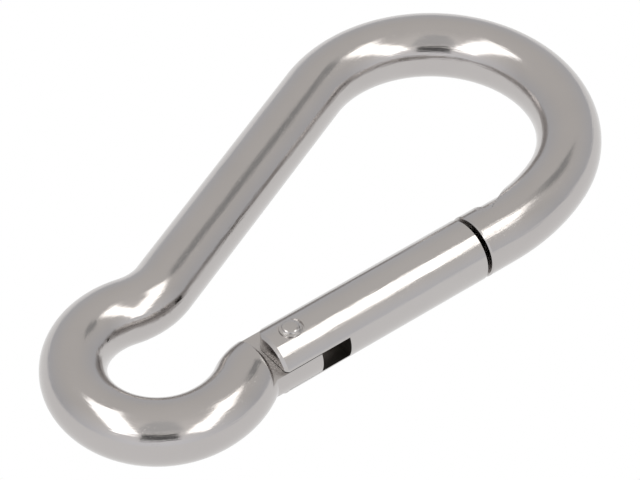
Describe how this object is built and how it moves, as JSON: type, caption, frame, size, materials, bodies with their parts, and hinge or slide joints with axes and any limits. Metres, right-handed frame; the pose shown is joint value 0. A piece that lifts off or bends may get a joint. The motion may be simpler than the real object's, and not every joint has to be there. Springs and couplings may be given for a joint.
{
  "type": "spring snap hook",
  "caption": "Pear-shaped spring hook of bent round bar, with a small eye, a wide bow and a sprung gate that opens inwards.",
  "frame": {"origin": "centre of the hook's box, on the mid-plane of the bar", "axes": "+X along the closed gate from the small eye to the wide bow, +Y from the gate towards the spine, +Z square to the flat of the hook"},
  "size_m": [0.1161, 0.062, 0.012],
  "materials": {
    "polished_bar": "polished, with fine lengthwise polishing marks",
    "polished_gate": "polished, with fine lengthwise polishing marks",
    "rivet_steel": "hammered and polished",
    "spring_steel": "drawn wire"
  },
  "bodies": {
    "hook": {"hook_body": "polished_bar"},
    "gate": {"gate": "polished_gate", "hinge_rivet": "rivet_steel", "gate_spring": "spring_steel"},
    "plunger": {"plunger": "rivet_steel"}
  },
  "joints": [
    {"name": "gate_hinge", "type": "hinge", "parent": "hook", "child": "gate", "pos_m": [-0.01994, -0.02183, 0], "axis": [0, 0, 1], "range_deg": [0, 40], "stiffness_Nm_per_rad": 0.0196, "springref_deg": -122.61, "deforming": ["gate_spring"]},
    {"name": "plunger_slide", "type": "slide", "parent": "gate", "child": "plunger", "axis": [1, 0, 0], "range_m": [0, 0.00105]}
  ],
  "couplings": [
    {"joint": "plunger_slide", "follows": "gate_hinge", "m_per_rad": 0.0014}
  ]
}
